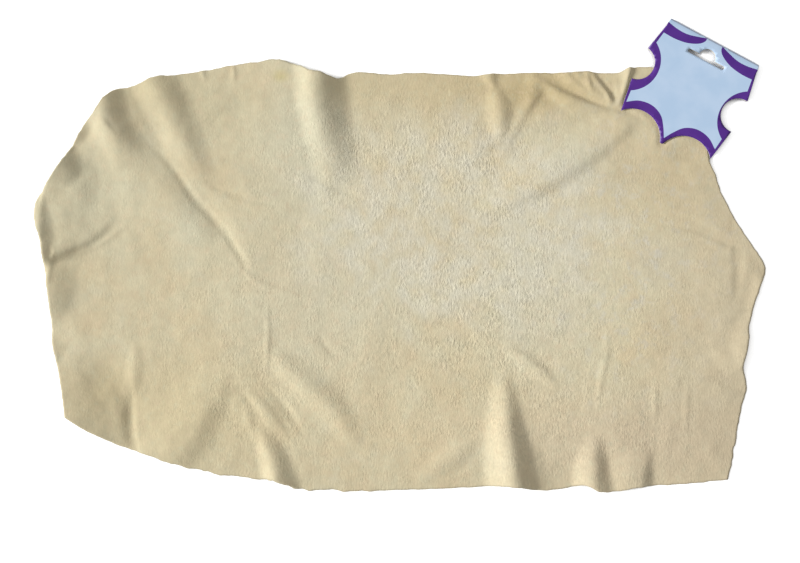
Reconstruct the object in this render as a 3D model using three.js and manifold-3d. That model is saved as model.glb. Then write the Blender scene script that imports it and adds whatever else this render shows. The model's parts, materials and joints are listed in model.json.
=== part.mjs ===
// A chamois leather lying on a table, with the folded hang tag that is stapled to one corner.
// Millimetres, +Z up. X runs along the hide, and the origin lies under the middle of the whole.

import * as THREE from "three";
import { mergeVertices } from "three/addons/utils/BufferGeometryUtils.js";
import Module from "manifold-3d";

// The hide: its longest reach each way, its thickness, and the fineness of its drape.
const HIDE_LENGTH = 577;
const HIDE_WIDTH = 341;
const HIDE_THICKNESS = 1;
const HIDE_COLUMNS = 38;
const HIDE_ROWS = 14;

// The hide's cut edge as it lies, drawn from its middle. The drawing is stretched to the length and
// width above, and the folds with it.
const LEFT_EDGE = [
  [-266, -115], [-272, -68], [-278, -18], [-283, 19], [-288, 43],
  [-288, 56], [-279, 76], [-263, 99], [-250, 118], [-235, 141],
];
const TOP_EDGE = [
  [-235, 141], [-224, 148], [-209, 151], [-194, 158], [-150, 163],
  [-119, 168], [-91, 170], [-70, 165], [-49, 158], [-33, 161],
  [-8, 159], [23, 160], [55, 158], [110, 161], [146, 162],
  [158, 159], [175, 162], [186, 165], [207, 165], [227, 162],
  [238, 155],
];
const RIGHT_EDGE = [
  [259, -161], [264, -134], [269, -108], [274, -89], [272, -71],
  [275, -51], [284, -11], [288, 6], [280, 21], [264, 46],
  [252, 72], [246, 93], [244, 119], [238, 155],
];
const BOTTOM_EDGE = [
  [-266, -115], [-243, -125], [-213, -137], [-174, -150], [-136, -158],
  [-99, -163], [-79, -169], [-40, -170], [16, -169], [59, -167],
  [84, -166], [107, -170], [128, -168], [146, -166], [160, -170],
  [189, -168], [229, -164], [259, -161],
];

// The folds that the hide lies in. A crest runs from where a fold is highest to where it dies out.
// It rises by so much, and its flanks reach so far to the left and right of that run.
// An edge fold is highest at the hide's edge, and an inner fold fades at both ends.
const EDGE_FOLDS = {
  neck: { crest: [[-237, 155], [-232, 129], [-226, 106], [-221, 82]], rise: 10, flanks: [30, 12] },
  shoulder: { crest: [[-199, 169], [-183, 131], [-172, 107], [-150, 61]], rise: 6.3, flanks: [25, 22] },
  back: { crest: [[-67, 174], [-66, 139], [-61, 115], [-52, 66]], rise: 10, flanks: [28, 24] },
  rump: { crest: [[74, 161], [76, 143], [78, 125], [66, 99]], rise: 3, flanks: [13, 14] },
  belly: { crest: [[91, -181], [88, -153], [84, -122], [80, -73]], rise: 12, flanks: [26, 24] },
  flank: { crest: [[153, -181], [151, -157], [152, -138], [155, -118]], rise: 7.5, flanks: [22, 17] },
  hind: { crest: [[185, -181], [187, -163], [190, -147], [195, -134]], rise: 5.5, flanks: [38, 15] },
  fore: { crest: [[-190, -157], [-174, -134], [-161, -118], [-139, -74]], rise: 4, flanks: [40, 23] },
  chest: { crest: [[-94, -181], [-100, -150], [-105, -134], [-112, -117]], rise: 7, flanks: [16, 20] },
  corner: { crest: [[-272, -122], [-276, -84], [-281, -51]], rise: 10, flanks: [14, 62] },
  leftLedge: { crest: [[-280, 15], [-250, 27], [-232, 42], [-225, 52]], rise: 3.4, flanks: [36, 10] },
  rightNotch: { crest: [[278, -73], [261, -67], [243, -59]], rise: 2.6, flanks: [14, 20] },
};
const INNER_FOLDS = {
  tagDrag: { crest: [[189, 126], [163, 105], [135, 87], [74, 52]], rise: 2.2, flanks: [16, 36] },
  middle: { crest: [[-93, -68], [-70, -89], [-52, -104], [-13, -136]], rise: 3, flanks: [16, 20] },
  neckSwell: { crest: [[-220, 109], [-202, 87], [-180, 58], [-141, 11]], rise: 2.8, flanks: [22, 44] },
  saddle: { crest: [[-155, 79], [-142, 60], [-129, 42], [-112, 3]], rise: 1.7, flanks: [60, 12] },
  leftRim: { crest: [[-267, 91], [-278, 69], [-281, 40], [-278, 16]], rise: 2.8, flanks: [48, 8] },
  leftFluteTop: { crest: [[-255, 108], [-267, 90], [-275, 70]], rise: 5.6, flanks: [21, 8] },
  leftFluteMiddle: { crest: [[-284, 76], [-287, 56], [-286, 32], [-282, 12]], rise: 4.6, flanks: [17, 6] },
  leftFluteBase: { crest: [[-280, 6], [-276, -11], [-273, -32]], rise: 4.5, flanks: [19, 7] },
};
const CREST_STEPS = 16;
const FOLD_TIP_WIDTH = 0.35;

// The card of the tag, folded twice along its top, and die-cut to the outline of a hide.
// Depths are measured from the fold, and spans across the tag's middle line.
const CARD_THICKNESS = 0.4;
const FOLD_LENGTH = 80;
const LEG_SPAN = 89;
const FORE_LEG_DEPTH = 27.5;
const HIND_LEG_DEPTH = 54.5;
const HIND_FOOT_SPAN = 80;
const HIND_FOOT_DEPTH = 81;
const TAIL_DEPTH = 89;
const TAIL_WIDTH = 3;
const TAIL_POINT = 0.75;
const LEFT_NOTCH = 11.6;
const RIGHT_NOTCH = 15;
const REAR_NOTCH = 11.6;
const SPINE_BOW = 0.7;
const CREASE_GAP = 0.3;
const ARC_SEGMENTS = 10;

// The slot for a display peg, with a round hump over its middle.
const SLOT_LENGTH = 32;
const SLOT_HEIGHT = 3;
const SLOT_DEPTH = 14.3;
const HUMP_RADIUS = 6.7;

// Where the hide's corner lies between the leaves, and how the tag is turned.
const TAG_TURN = 28.2;
const CORNER_ACROSS = 5.3;
const CORNER_DEPTH = 28;
const SEAT_FADE = 40;

// The wire staples through the hide's corner and the back leaf.
const WIRE_THICKNESS = 0.5;
const WIRE_WIDTH = 0.6;
const STAPLE_CROWN = 10;
const STAPLE_CLINCH = 3.2;
const STAPLE_BEND = 0.4;
const STAPLE_BEND_SEGMENTS = 3;
const STAPLE_SPACING = 24;
const STAPLE_INSET = 28;
const HOLE_CLEARANCE = 0.3;

// Flat layers of the stack at the tag lie this far apart.
const LAYER_GAP = 0.3;

// Heights of the stack: clinched wire, back leaf, hide, staple crown, front leaf.
const BACK_LEAF_BASE = WIRE_THICKNESS + LAYER_GAP;
const HIDE_SEAT = BACK_LEAF_BASE + CARD_THICKNESS + LAYER_GAP;
const CROWN_BASE = HIDE_SEAT + HIDE_THICKNESS + LAYER_GAP;
const FRONT_LEAF_BASE = CROWN_BASE + WIRE_THICKNESS + LAYER_GAP;
const STACK_TOP = FRONT_LEAF_BASE + CARD_THICKNESS;
const STAPLE_DEPTH = CORNER_DEPTH + STAPLE_INSET;

const LEATHER = new THREE.MeshStandardMaterial({ color: 0xcec19f, roughness: 0.9, metalness: 0 });
const CARD = new THREE.MeshStandardMaterial({ color: 0xc3d3e6, roughness: 0.45, metalness: 0 });
const WIRE = new THREE.MeshStandardMaterial({ color: 0xb9bcc0, roughness: 0.35, metalness: 1 });

const wasm = await Module();
wasm.setup();

// A solid for cutting, from a closed geometry.
function toSolid(geometry) {
  const bare = new THREE.BufferGeometry();
  bare.setAttribute("position", geometry.getAttribute("position"));
  bare.setIndex(geometry.getIndex());
  const merged = mergeVertices(bare);
  const vertProperties = merged.getAttribute("position").array;
  const triVerts = Uint32Array.from(merged.getIndex().array);
  return new wasm.Manifold(new wasm.Mesh({ numProp: 3, vertProperties, triVerts }));
}

// A geometry from a cut solid.
function toGeometry(solid) {
  const mesh = solid.getMesh();
  const geometry = new THREE.BufferGeometry();
  geometry.setAttribute("position", new THREE.BufferAttribute(mesh.vertProperties, 3));
  geometry.setIndex(new THREE.BufferAttribute(mesh.triVerts, 1));
  geometry.computeVertexNormals();
  return geometry;
}

// A named mesh of one piece, in a material of its own.
function piece(name, geometry, material) {
  const mesh = new THREE.Mesh(geometry, material.clone());
  mesh.name = name;
  return mesh;
}

function drawnCurve(points) {
  const places = points.map(([x, y]) => new THREE.Vector3(x, y, 0));
  return new THREE.CatmullRomCurve3(places, false, "centripetal");
}

const edges = {
  left: drawnCurve(LEFT_EDGE),
  right: drawnCurve(RIGHT_EDGE),
  top: drawnCurve(TOP_EDGE),
  bottom: drawnCurve(BOTTOM_EDGE),
};

// The drawn place between the hide's four edges, by shares u along it and v across it.
function drawnPoint(u, v) {
  const bottom = edges.bottom.getPointAt(u);
  const top = edges.top.getPointAt(u);
  const left = edges.left.getPointAt(v);
  const right = edges.right.getPointAt(v);
  const ends = new THREE.Vector3();
  ends.addScaledVector(edges.bottom.getPoint(0), (1 - u) * (1 - v));
  ends.addScaledVector(edges.bottom.getPoint(1), u * (1 - v));
  ends.addScaledVector(edges.top.getPoint(0), (1 - u) * v);
  ends.addScaledVector(edges.top.getPoint(1), u * v);
  const place = new THREE.Vector3();
  place.addScaledVector(bottom, 1 - v).addScaledVector(top, v);
  place.addScaledVector(left, 1 - u).addScaledVector(right, u);
  return place.sub(ends);
}

// The hide's plan as drawn, row by row from its bottom edge.
const drawnPlan = [];
for (let row = 0; row <= HIDE_ROWS; row += 1) {
  for (let column = 0; column <= HIDE_COLUMNS; column += 1) {
    drawnPlan.push(drawnPoint(column / HIDE_COLUMNS, row / HIDE_ROWS));
  }
}

// What brings the drawing to the hide's own length and width.
const drawnSize = new THREE.Box3().setFromPoints(drawnPlan).getSize(new THREE.Vector3());
const hideScale = new THREE.Vector3(HIDE_LENGTH / drawnSize.x, HIDE_WIDTH / drawnSize.y, 1);
const tagCorner = edges.top.getPoint(1).multiply(hideScale);

// The nearest place on a crest: how far along it, how far off it, and on which side.
function nearestOnCrest(crest, point) {
  let best = { distance: Infinity, share: 0, leftSide: true };
  for (let i = 0; i < crest.length - 1; i += 1) {
    const run = crest[i + 1].clone().sub(crest[i]);
    const reach = point.clone().sub(crest[i]);
    const t = THREE.MathUtils.clamp(reach.dot(run) / run.lengthSq(), 0, 1);
    const distance = reach.distanceTo(run.clone().multiplyScalar(t));
    if (distance < best.distance) {
      const leftSide = run.x * reach.y - run.y * reach.x > 0;
      best = { distance, share: (i + t) / (crest.length - 1), leftSide };
    }
  }
  return best;
}

// How high a fold lifts the hide at a point of its plan, with its fade along the crest.
function foldLift(fold, point, fade) {
  const near = nearestOnCrest(fold.line, point);
  const flank = fold.flanks[near.leftSide ? 0 : 1];
  const width = flank * THREE.MathUtils.lerp(1, FOLD_TIP_WIDTH, near.share);
  const off = Math.min(near.distance / width, 1);
  return fold.rise * fade(near.share) * (0.5 + 0.5 * Math.cos(Math.PI * off));
}

function withLines(table) {
  return Object.values(table).map((fold) => ({
    ...fold,
    line: drawnCurve(fold.crest)
      .getSpacedPoints(CREST_STEPS)
      .map((point) => point.multiply(hideScale)),
  }));
}

const edgeFolds = withLines(EDGE_FOLDS);
const innerFolds = withLines(INNER_FOLDS);

// How high all the folds together lift the hide at a point of its plan.
function drape(point) {
  const fromEdge = (share) => 1 - THREE.MathUtils.smoothstep(share, 0, 1);
  const bothEnds = (share) => Math.sin(Math.PI * share);
  const lifts = [
    ...edgeFolds.map((fold) => foldLift(fold, point, fromEdge)),
    ...innerFolds.map((fold) => foldLift(fold, point, bothEnds)),
  ];
  return lifts.reduce((sum, lift) => sum + lift, 0);
}

// The outline of a leaf, from the fold down, with X along the fold and -Y down the tag.
function leafShape() {
  const shape = new THREE.Shape();
  const foot = new THREE.Vector2(HIND_FOOT_SPAN / 2, -HIND_FOOT_DEPTH);
  const tail = new THREE.Vector2(TAIL_WIDTH / 2, TAIL_POINT - TAIL_DEPTH);
  const foreLeg = new THREE.Vector2(LEG_SPAN / 2, -FORE_LEG_DEPTH);
  const hindLeg = new THREE.Vector2(LEG_SPAN / 2, -HIND_LEG_DEPTH);
  const mirrored = (p) => new THREE.Vector2(-p.x, p.y);
  shape.moveTo(FOLD_LENGTH / 2, -CREASE_GAP);
  shape.lineTo(-FOLD_LENGTH / 2, -CREASE_GAP);
  shape.lineTo(-foreLeg.x, foreLeg.y);
  addNotch(shape, mirrored(foreLeg), mirrored(hindLeg), LEFT_NOTCH);
  shape.lineTo(-foot.x, foot.y);
  addNotch(shape, mirrored(foot), mirrored(tail), REAR_NOTCH);
  shape.lineTo(0, -TAIL_DEPTH);
  addNotch(shape, tail, foot, REAR_NOTCH);
  shape.lineTo(hindLeg.x, hindLeg.y);
  addNotch(shape, hindLeg, foreLeg, RIGHT_NOTCH);
  shape.closePath();
  return shape;
}

// A round notch of a given depth between two points, on the left as the outline runs.
function addNotch(shape, from, to, depth) {
  const chord = to.clone().sub(from);
  const radius = (chord.lengthSq() / 4 + depth * depth) / (2 * depth);
  const inward = new THREE.Vector2(-chord.y, chord.x).normalize();
  const centre = from.clone().add(to).multiplyScalar(0.5).addScaledVector(inward, depth - radius);
  const start = from.clone().sub(centre).angle();
  const end = to.clone().sub(centre).angle();
  shape.absarc(centre.x, centre.y, radius, start, end, true);
}

// The peg slot: a narrow slot with round ends, and a half-round hump towards the fold.
function pegSlot() {
  const path = new THREE.Path();
  const endRadius = SLOT_HEIGHT / 2;
  const endCentre = SLOT_LENGTH / 2 - endRadius;
  path.moveTo(-endCentre, -SLOT_DEPTH - endRadius);
  path.absarc(endCentre, -SLOT_DEPTH, endRadius, -Math.PI / 2, Math.PI / 2, false);
  path.absarc(0, -SLOT_DEPTH + endRadius, HUMP_RADIUS, 0, Math.PI, false);
  path.absarc(-endCentre, -SLOT_DEPTH, endRadius, Math.PI / 2, Math.PI * 1.5, false);
  return path;
}

// The places of the staples' middles, across the tag.
const STAPLE_PLACES = { staple_left: -STAPLE_SPACING / 2, staple_right: STAPLE_SPACING / 2 };

// The middles of a staple's two legs, across the tag.
function legPlaces(middle) {
  const reach = (STAPLE_CROWN - WIRE_THICKNESS) / 2;
  return [middle - reach, middle + reach];
}

// A piece with a square hole for each staple leg. The matrix takes the tag's frame to the piece's.
function cutLegHoles(geometry, matrix) {
  let solid = toSolid(geometry);
  for (const place of Object.values(STAPLE_PLACES).flatMap(legPlaces)) {
    const hole = new THREE.BoxGeometry(
      WIRE_THICKNESS + 2 * HOLE_CLEARANCE,
      WIRE_WIDTH + 2 * HOLE_CLEARANCE,
      2 * STACK_TOP,
    );
    hole.translate(place, -STAPLE_DEPTH, 0);
    hole.applyMatrix4(matrix);
    solid = solid.subtract(toSolid(hole));
  }
  return toGeometry(solid);
}

// One leaf of the card, with its peg slot.
function leafGeometry() {
  const shape = leafShape();
  shape.holes.push(pegSlot());
  const options = { depth: CARD_THICKNESS, bevelEnabled: false, curveSegments: ARC_SEGMENTS };
  return new THREE.ExtrudeGeometry(shape, options);
}

// The spine between the leaves: a strip of card that bows outwards, along the fold.
function spineGeometry() {
  const middle = (BACK_LEAF_BASE + STACK_TOP) / 2;
  const bow = 2 * SPINE_BOW;
  const section = new THREE.Shape();
  section.moveTo(CARD_THICKNESS, BACK_LEAF_BASE);
  section.quadraticCurveTo(CARD_THICKNESS + bow, middle, CARD_THICKNESS, STACK_TOP);
  section.lineTo(0, STACK_TOP);
  section.quadraticCurveTo(bow, middle, 0, BACK_LEAF_BASE);
  section.closePath();
  const options = { depth: FOLD_LENGTH, bevelEnabled: false, curveSegments: ARC_SEGMENTS };
  const geometry = new THREE.ExtrudeGeometry(section, options);
  const alongFold = new THREE.Matrix4().makeBasis(
    new THREE.Vector3(0, 1, 0),
    new THREE.Vector3(0, 0, 1),
    new THREE.Vector3(1, 0, 0),
  );
  geometry.applyMatrix4(alongFold);
  geometry.translate(-FOLD_LENGTH / 2, 0, 0);
  return geometry;
}

// A staple of flat wire: its crown on the hide, its legs clinched inwards under the back leaf.
function stapleGeometry(middle) {
  const outside = STAPLE_CROWN / 2;
  const inside = outside - WIRE_THICKNESS;
  const tip = outside - STAPLE_CLINCH;
  const top = CROWN_BASE + WIRE_THICKNESS;
  const shape = new THREE.Shape();
  shape.moveTo(outside - STAPLE_BEND, top);
  shape.lineTo(-outside + STAPLE_BEND, top);
  shape.quadraticCurveTo(-outside, top, -outside, top - STAPLE_BEND);
  shape.lineTo(-outside, STAPLE_BEND);
  shape.quadraticCurveTo(-outside, 0, -outside + STAPLE_BEND, 0);
  shape.lineTo(-tip, 0);
  shape.lineTo(-tip, WIRE_THICKNESS);
  shape.lineTo(-inside, WIRE_THICKNESS);
  shape.lineTo(-inside, CROWN_BASE);
  shape.lineTo(inside, CROWN_BASE);
  shape.lineTo(inside, WIRE_THICKNESS);
  shape.lineTo(tip, WIRE_THICKNESS);
  shape.lineTo(tip, 0);
  shape.lineTo(outside - STAPLE_BEND, 0);
  shape.quadraticCurveTo(outside, 0, outside, STAPLE_BEND);
  shape.lineTo(outside, top - STAPLE_BEND);
  shape.quadraticCurveTo(outside, top, outside - STAPLE_BEND, top);
  const options = { depth: WIRE_WIDTH, bevelEnabled: false, curveSegments: STAPLE_BEND_SEGMENTS };
  const geometry = new THREE.ExtrudeGeometry(shape, options);
  geometry.rotateX(Math.PI / 2);
  geometry.translate(middle, -STAPLE_DEPTH + WIRE_WIDTH / 2, 0);
  return geometry;
}

// The tag, turned and placed so that the hide's corner lies between its leaves.
function tagGroup() {
  const tag = new THREE.Group();
  const turn = -THREE.MathUtils.degToRad(TAG_TURN);
  const corner = new THREE.Vector3(CORNER_ACROSS, -CORNER_DEPTH, 0);
  tag.rotation.z = turn;
  tag.position.copy(tagCorner).sub(corner.applyAxisAngle(new THREE.Vector3(0, 0, 1), turn));
  const stapledLeaf = cutLegHoles(leafGeometry(), new THREE.Matrix4());
  const backLeaf = piece("tag_back_leaf", stapledLeaf, CARD);
  const frontLeaf = piece("tag_front_leaf", leafGeometry(), CARD);
  backLeaf.position.z = BACK_LEAF_BASE;
  frontLeaf.position.z = FRONT_LEAF_BASE;
  tag.add(backLeaf, piece("tag_spine", spineGeometry(), CARD), frontLeaf);
  for (const [name, middle] of Object.entries(STAPLE_PLACES)) {
    tag.add(piece(name, stapleGeometry(middle), WIRE));
  }
  tag.updateMatrixWorld();
  return tag;
}

// How fully the hide lies on the back leaf at a point: 1 under the tag, 0 well away from it.
function seatShare(point, tag) {
  const middle = new THREE.Vector3(0, -TAIL_DEPTH / 2, 0);
  const cell = Math.hypot(HIDE_LENGTH / HIDE_COLUMNS, HIDE_WIDTH / HIDE_ROWS);
  const reach = cell + Math.hypot(LEG_SPAN / 2, TAIL_DEPTH / 2);
  const distance = point.distanceTo(tag.localToWorld(middle));
  return 1 - THREE.MathUtils.smoothstep(distance, reach, reach + SEAT_FADE);
}

// The draped hide: a top and an underside over the same plan, closed round its cut edge.
function hideGeometry(tag) {
  const across = HIDE_COLUMNS + 1;
  const layer = across * (HIDE_ROWS + 1);
  const underside = drawnPlan.map((drawn) => {
    const point = drawn.clone().multiply(hideScale);
    return point.setZ(THREE.MathUtils.lerp(drape(point), HIDE_SEAT, seatShare(point, tag)));
  });
  const top = underside.map((point) => point.clone().setZ(point.z + HIDE_THICKNESS));
  const faces = [];
  for (let row = 0; row < HIDE_ROWS; row += 1) {
    for (let column = 0; column < HIDE_COLUMNS; column += 1) {
      const a = row * across + column;
      const [b, c, d] = [a + 1, a + across + 1, a + across];
      const alongFold = Math.abs(top[a].z - top[c].z) < Math.abs(top[b].z - top[d].z);
      const pair = alongFold ? [[a, b, c], [a, c, d]] : [[a, b, d], [b, c, d]];
      for (const [i, j, k] of pair) {
        faces.push(i, j, k, k + layer, j + layer, i + layer);
      }
    }
  }
  const columns = [...Array(HIDE_COLUMNS).keys()];
  const rows = [...Array(HIDE_ROWS).keys()];
  const rim = [
    ...columns,
    ...rows.map((row) => row * across + HIDE_COLUMNS),
    ...columns.map((column) => layer - 1 - column),
    ...rows.map((row) => (HIDE_ROWS - row) * across),
  ];
  rim.forEach((a, i) => {
    const b = rim[(i + 1) % rim.length];
    faces.push(a + layer, b + layer, b, a + layer, b, a);
  });
  const geometry = new THREE.BufferGeometry().setFromPoints([...top, ...underside]);
  geometry.setIndex(faces);
  return geometry;
}

const tag = tagGroup();
const chamois = new THREE.Group();
chamois.name = "chamois_leather";
chamois.add(piece("chamois_hide", cutLegHoles(hideGeometry(tag), tag.matrixWorld), LEATHER), tag);

// The origin lies under the middle of the whole.
const middle = new THREE.Box3().setFromObject(chamois, true).getCenter(new THREE.Vector3());
chamois.position.set(-middle.x, -middle.y, 0);
chamois.updateMatrixWorld(true);

export default chamois;
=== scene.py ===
"""A chamois leather lying in soft folds, with a folded card hang tag stapled to one corner.

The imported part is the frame. The leather and the card are fine meshes built round it: the outline and
the folds of the leather are points of an 800 by 563 photograph, brought to the part's frame through the
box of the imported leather, and the card is laid out from its crease. Sizes are in millimetres.
"""

import json
import math
from collections import namedtuple

import bpy
import numpy as np
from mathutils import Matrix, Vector
from mathutils.geometry import delaunay_2d_cdt


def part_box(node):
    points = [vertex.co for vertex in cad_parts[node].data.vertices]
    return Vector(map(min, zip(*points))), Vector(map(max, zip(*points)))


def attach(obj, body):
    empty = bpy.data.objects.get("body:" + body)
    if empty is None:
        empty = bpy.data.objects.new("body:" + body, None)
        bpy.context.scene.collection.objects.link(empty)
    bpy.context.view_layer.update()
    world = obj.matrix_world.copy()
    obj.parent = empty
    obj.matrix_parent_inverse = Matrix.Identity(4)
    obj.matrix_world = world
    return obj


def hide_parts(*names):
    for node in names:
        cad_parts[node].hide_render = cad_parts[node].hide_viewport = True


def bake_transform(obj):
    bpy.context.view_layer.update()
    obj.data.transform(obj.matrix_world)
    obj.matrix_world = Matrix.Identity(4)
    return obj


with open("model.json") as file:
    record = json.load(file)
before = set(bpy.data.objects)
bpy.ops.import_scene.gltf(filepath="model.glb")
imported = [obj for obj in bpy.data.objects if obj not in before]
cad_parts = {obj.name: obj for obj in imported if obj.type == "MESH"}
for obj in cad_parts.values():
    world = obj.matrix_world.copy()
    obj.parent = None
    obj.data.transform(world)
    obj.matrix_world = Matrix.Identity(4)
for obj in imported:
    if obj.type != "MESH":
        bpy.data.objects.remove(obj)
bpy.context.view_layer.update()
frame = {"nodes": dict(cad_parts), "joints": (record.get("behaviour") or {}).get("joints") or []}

MM = 0.001

# Outline of the leather, in pixels of the photograph, each edge from left to right or from bottom to top.
# Where an edge stands up it is drawn further in, because the camera above sees a raised edge further out.
LEFT_EDGE = [
    (68, 416.5), (63.5, 387), (57.4, 362), (51.8, 342), (52.4, 327), (50, 298), (46, 266),
    (45.2, 252), (43, 239), (36.8, 221), (36.3, 205), (42.4, 192), (51, 180), (61.2, 166),
    (70.8, 150), (84.8, 126), (97.6, 111), (106, 98.8),
]
TOP_EDGE = [
    (106, 98.8), (117, 90.5), (135.3, 86.3), (155.3, 77.4), (182, 74.1), (210, 69.7), (250, 62),
    (285, 60.4), (300, 66), (310, 71.3), (320, 73), (330, 76.8), (339, 78.6), (350, 73.2),
    (358, 71.5), (390, 74.4), (408, 72.3), (430, 73), (470, 75.7), (490, 74.1), (540, 72.5),
    (570, 72.4), (584, 71.4), (600, 72.6), (620, 72.2), (626, 68.5), (636, 67), (662, 67.5),
    (688, 71), (702, 80),
]
RIGHT_EDGE = [
    (728, 480), (735, 445), (740.6, 412), (746.8, 388), (745.2, 377), (742.4, 367), (747.6, 346),
    (748.8, 328), (752.4, 312), (755.6, 300), (759.3, 289), (765.3, 268), (755, 249), (734, 217),
    (717.8, 184), (715.6, 175), (708.5, 158), (707.5, 125), (702, 80),
]
BOTTOM_EDGE = [
    (68, 416.5), (93, 432.6), (130, 449.5), (155, 457.2), (180, 466), (228, 476), (275, 480.4),
    (300, 489.5), (345, 490.8), (420, 490), (475, 487), (507, 485.4), (520, 486), (536, 490.2),
    (562, 489), (585, 484.8), (602, 491.6), (640, 486.8), (690, 483.8), (728, 480),
]
# Corners of the box that the outline would fill with its edge on the floor, in pixels
DRAWN_LOW = (34.93, 59.7)
DRAWN_HIGH = (765.42, 492.19)
# Raggedness of the cut: length and swing of its waves, in millimetres
EDGE_RAGS = [(17.0, 0.45), (6.0, 0.4), (3.7, 0.25)]
# Where the cut is frayed: middle in pixels, reach in millimetres, and how much more ragged it is there
FRAYS = {
    "top": ((280, 60), 60.0, 1.6),
    "lower_left": ((240, 478), 75.0, 2.0),
    "bottom": ((340, 490), 60.0, 1.2),
    "lower_right": ((710, 483), 50.0, 1.0),
}

# Mesh of the leather: cells along and across its top, and how many of them one cell of its underside spans
HIDE_CELLS = (336, 201)
UNDER_SPAN = 3
HIDE_THICKNESS = 1.0
EDGE_ROUNDING = 0.08
# Name of the mark that the points on the cut edge carry
CUT_EDGE = "cut_edge"

# A fold's crest runs down the photograph. It is highest at a share of its run, and reaches so many
# millimetres to its left and right there, and a share of that at its tip. A rise below nothing makes a
# valley.
USUAL_TIP = 0.4
Fold = namedtuple("Fold", "crest rise left right high tip", defaults=[USUAL_TIP])
BACK_CREST = [(315, 56), (317, 100), (323, 130), (329, 160), (334, 192)]
FOLDS = {
    "neck": Fold([(96, 82), (101, 100), (108, 120), (119, 141), (129, 166)], 6.4, 20, 22, 0, 0.7),
    "neck_slope": Fold([(100, 80), (106, 112), (114, 142), (120, 172)], 4.6, 23, 44, 0, 0.8),
    "neck_swell": Fold(
        [(122, 138), (145, 166), (156, 182), (172, 202), (191, 222), (222, 262)], 2.8, 44, 22, 0.4,
    ),
    "shoulder": Fold(
        [(148, 62), (155, 82), (169, 110), (183, 140), (195, 168), (210, 198)], 6.0, 21.5, 23, 0, 0.6,
    ),
    "saddle": Fold([(204, 176), (220, 200), (237, 222), (248, 244), (258, 272)], 1.3, 13, 60, 0.45),
    "back": Fold(BACK_CREST, 7.4, 19.5, 28, 0, 0.85),
    "back_swell": Fold(BACK_CREST, 3.2, 75, 30, 0, 0.9),
    "rump": Fold([(494, 82), (497, 100), (500, 118), (499, 138)], 2.8, 13, 13, 0.55),
    "rump_edge": Fold([(484, 60), (489, 75), (495, 90)], 2.4, 9, 10, 0.35),
    "rump_knot": Fold([(535, 76), (533, 92), (527, 110)], 1.5, 12, 10, 0.4),
    "tag_fan": Fold([(560, 64), (585, 84), (612, 104)], 2.8, 16, 14, 0.4),
    "tag_ridge": Fold([(541, 80), (560, 94), (586, 105), (610, 112)], 3.2, 11, 6, 0.45),
    "tag_drag": Fold([(640, 116), (606, 143), (571, 166), (530, 190), (494, 210)], 2.5, 36, 13, 0.55),
    "belly": Fold([(502, 368), (505, 400), (507, 430), (512, 470), (516, 505)], 9.5, 25, 21, 1),
    "belly_swell": Fold([(506, 410), (507, 430), (512, 470), (516, 505)], 3.0, 30, 44, 1, 0.6),
    "upper_belly": Fold([(508, 348), (534, 366), (560, 388)], 1.9, 11, 8, 0.45),
    "flank": Fold([(596, 436), (593, 455), (592, 477), (594, 505)], 8.4, 22, 19.5, 1),
    "hind": Fold([(649, 446), (643.5, 462), (639, 482), (637, 505)], 5.7, 38, 15, 1),
    "fore": Fold([(224, 370), (212, 400), (196, 425), (180, 446), (160, 474)], 4.2, 48, 23, 0.7),
    "chest": Fold([(258, 424), (267, 445), (274, 466), (281, 505)], 7.2, 16, 20, 1),
    "middle": Fold([(282, 362), (311, 389), (331, 408), (347, 428), (359, 452)], 3.0, 17, 18, 0.4),
    "ray": Fold([(246, 388), (268, 412), (288, 440)], 1.5, 14, 8, 0.5),
    "bottom_drag": Fold([(480, 436), (450, 460), (416, 482)], 1.2, 14, 12, 0.5),
    "corner": Fold([(46, 352), (50, 386), (54, 430)], 11, 14, 62, 1, 0.7),
    "corner_fall": Fold([(108, 382), (115, 408), (119, 434), (126, 458)], 2.2, 50, 14, 0.5),
    "left_rim": Fold([(62, 160), (48, 188), (44, 225), (48, 255)], 2.8, 8, 48, 0.5, 0.8),
    "left_ledge": Fold([(116, 210), (107, 222), (84, 241), (46, 257)], 3.4, 36, 10, 0.75),
    "ledge_end": Fold([(80, 245), (62, 250), (44, 254)], 2.2, 14, 10, 0.7),
    "left_facet": Fold([(70, 146), (74, 168), (80, 190), (88, 212)], 2.2, 22, 20, 0.5),
    "flute_one": Fold([(67, 141), (57, 155), (51, 167), (46, 184)], 9.8, 8, 27, 0.55, 0.6),
    "neck_flute": Fold([(97, 101), (87, 117), (78, 130), (70, 143)], 3.4, 5, 11, 0.6, 0.6),
    "flute_two": Fold([(38, 186), (34.5, 208), (36.5, 230), (40, 252), (44, 276)], 6.8, 6, 17, 0.55),
    "flute_three": Fold([(53, 262), (49.5, 288), (48, 324)], 5.6, 7, 25, 0.45, 0.8),
    "left_tuck": Fold([(47, 334), (47.5, 350), (52, 366)], 2.4, 6, 17, 0.5, 0.6),
    "tip_flute": Fold([(757, 270), (762, 286), (760, 300), (756, 314)], 2.1, 13, 9, 0.62),
    "right_notch": Fold([(708, 350), (730, 361), (752, 368)], 2.6, 14, 20, 0.9),
    "right_lip": Fold([(752, 312), (748.5, 338), (744, 359)], 2.9, 18, 7, 0.6),
}
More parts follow.
